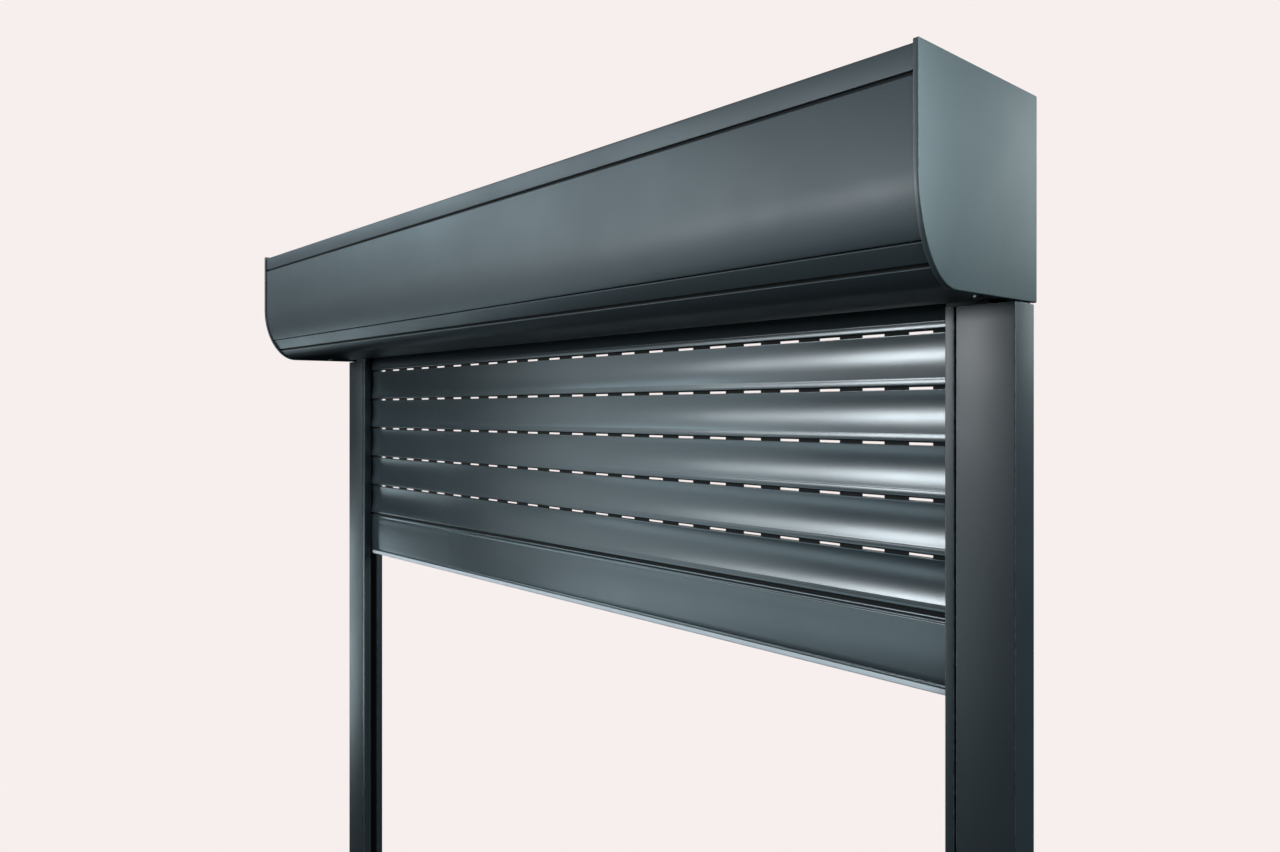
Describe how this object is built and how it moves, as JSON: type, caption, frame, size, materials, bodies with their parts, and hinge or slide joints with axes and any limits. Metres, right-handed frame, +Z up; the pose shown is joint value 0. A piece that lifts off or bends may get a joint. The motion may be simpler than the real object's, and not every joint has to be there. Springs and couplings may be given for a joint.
{
  "type": "roller shutter",
  "caption": "Front-mounted roller shutter: quarter-round box with tubular motor and winding shaft, two guide rails and a partly lowered slatted curtain.",
  "frame": {"origin": "middle of the shutter box's back face, which lies against the wall", "axes": "+X along the box towards the motor, +Y into the wall, +Z up; -Y faces outdoors"},
  "size_m": [1.117, 0.165, 0.9611],
  "materials": {
    "anthracite_coat": "satin anthracite powder coat over aluminium",
    "grey_seal": "light grey soft strip",
    "black_plastic": "moulded black plastic",
    "galvanised_steel": "galvanised",
    "gear_steel": "machined steel",
    "gear_plastic": "natural acetal",
    "cast_zinc": "die-cast zinc",
    "copper_windings": "enamelled copper windings",
    "white_button": "moulded white plastic",
    "yellow_button": "moulded yellow plastic"
  },
  "bodies": {
    "housing": {"rear_shell": "anthracite_coat", "front_cover": "anthracite_coat", "bottom_panel": "anthracite_coat", "end_cap_left": "anthracite_coat", "end_cap_right": "anthracite_coat", "guide_rail_left": "anthracite_coat", "guide_rail_right": "anthracite_coat", "cover_screw_left": "galvanised_steel", "cover_screw_right": "galvanised_steel", "motor_casing": "galvanised_steel", "bearing_outer_ring": "galvanised_steel", "rail_liner_left": "black_plastic", "rail_liner_right": "black_plastic", "inlet_funnel_left": "black_plastic", "inlet_funnel_right": "black_plastic", "rail_foot_left": "black_plastic", "rail_foot_right": "black_plastic", "motor_head": "black_plastic", "cable_socket": "black_plastic", "run_capacitor": "black_plastic", "limit_switch_unit": "black_plastic", "motor_bracket": "cast_zinc", "bearing_holder": "cast_zinc", "output_bush": "cast_zinc", "ring_gear": "gear_steel", "stator": "copper_windings", "brake_coil": "copper_windings"},
    "winding_shaft": {"octagonal_shaft_tube": "galvanised_steel", "hanger_strap_left": "galvanised_steel", "hanger_strap_right": "galvanised_steel", "bearing_inner_ring": "galvanised_steel", "crown_ring": "black_plastic", "drive_wheel": "black_plastic", "idler_plug": "black_plastic", "planet_carrier": "gear_steel", "wound_slat_01": "anthracite_coat", "wound_slat_02": "anthracite_coat", "wound_slat_03": "anthracite_coat", "wound_slat_04": "anthracite_coat", "wound_slat_05": "anthracite_coat", "wound_slat_06": "anthracite_coat", "wound_slat_07": "anthracite_coat", "wound_slat_08": "anthracite_coat", "wound_slat_09": "anthracite_coat"},
    "curtain_top": {"slat_1": "anthracite_coat", "slat_2": "anthracite_coat"},
    "curtain_slat_3": {"slat_3": "anthracite_coat"},
    "curtain_slat_4": {"slat_4": "anthracite_coat"},
    "curtain_slat_5": {"slat_5": "anthracite_coat"},
    "curtain_slat_6": {"slat_6": "anthracite_coat"},
    "curtain_slat_7": {"slat_7": "anthracite_coat"},
    "curtain_end": {"bottom_bar": "anthracite_coat", "bottom_seal": "grey_seal"},
    "rotor": {"rotor": "gear_steel"},
    "planet_1": {"planet_gear_1": "gear_plastic"},
    "planet_2": {"planet_gear_2": "gear_plastic"},
    "planet_3": {"planet_gear_3": "gear_plastic"},
    "brake_plate": {"brake_armature": "gear_steel"},
    "button_up": {"limit_button_up": "white_button"},
    "button_down": {"limit_button_down": "yellow_button"}
  },
  "joints": [
    {"name": "shaft_spin", "type": "hinge", "parent": "housing", "child": "winding_shaft", "pos_m": [0, -0.0845, 0.003], "axis": [1, 0, 0], "range_deg": [-53, 53]},
    {"name": "curtain_travel", "type": "slide", "parent": "housing", "child": "curtain_top", "axis": [0, 0, 1], "range_m": [-0.056, 0.056]},
    {"name": "slot_close_1", "type": "slide", "parent": "curtain_top", "child": "curtain_slat_3", "axis": [0, 0, 1], "range_m": [0, 0.0027]},
    {"name": "slot_close_2", "type": "slide", "parent": "curtain_slat_3", "child": "curtain_slat_4", "axis": [0, 0, 1], "range_m": [0, 0.0027]},
    {"name": "slot_close_3", "type": "slide", "parent": "curtain_slat_4", "child": "curtain_slat_5", "axis": [0, 0, 1], "range_m": [0, 0.0027]},
    {"name": "slot_close_4", "type": "slide", "parent": "curtain_slat_5", "child": "curtain_slat_6", "axis": [0, 0, 1], "range_m": [0, 0.0027]},
    {"name": "slot_close_5", "type": "slide", "parent": "curtain_slat_6", "child": "curtain_slat_7", "axis": [0, 0, 1], "range_m": [0, 0.0027]},
    {"name": "slot_close_6", "type": "slide", "parent": "curtain_slat_7", "child": "curtain_end", "axis": [0, 0, 1], "range_m": [0, 0.0027]},
    {"name": "rotor_spin", "type": "hinge", "parent": "housing", "child": "rotor", "pos_m": [0, -0.0845, 0.003], "axis": [1, 0, 0], "range_deg": [-213, 213]},
    {"name": "planet_spin_1", "type": "hinge", "parent": "winding_shaft", "child": "planet_1", "pos_m": [0, -0.07298, 0.003], "axis": [1, 0, 0], "range_deg": [-160, 160]},
    {"name": "planet_spin_2", "type": "hinge", "parent": "winding_shaft", "child": "planet_2", "pos_m": [0, -0.09026, 0.01298], "axis": [1, 0, 0], "range_deg": [-160, 160]},
    {"name": "planet_spin_3", "type": "hinge", "parent": "winding_shaft", "child": "planet_3", "pos_m": [0, -0.09026, -0.00698], "axis": [1, 0, 0], "range_deg": [-160, 160]},
    {"name": "brake_release", "type": "slide", "parent": "housing", "child": "brake_plate", "axis": [1, 0, 0], "range_m": [0, 0.0004], "stiffness_N_per_m": 2000, "springref_m": -0.0005},
    {"name": "limit_button_up_press", "type": "slide", "parent": "housing", "child": "button_up", "axis": [0, 0, 1], "range_m": [0, 0.002], "stiffness_N_per_m": 600, "springref_m": -0.0006},
    {"name": "limit_button_down_press", "type": "slide", "parent": "housing", "child": "button_down", "axis": [0, 0, 1], "range_m": [0, 0.002], "stiffness_N_per_m": 600, "springref_m": -0.0006}
  ],
  "couplings": [
    {"joint": "curtain_travel", "follows": "shaft_spin", "m_per_rad": 0.06},
    {"joint": "rotor_spin", "follows": "shaft_spin", "ratio": 4},
    {"joint": "planet_spin_1", "follows": "shaft_spin", "ratio": -3},
    {"joint": "planet_spin_2", "follows": "shaft_spin", "ratio": -3},
    {"joint": "planet_spin_3", "follows": "shaft_spin", "ratio": -3}
  ]
}
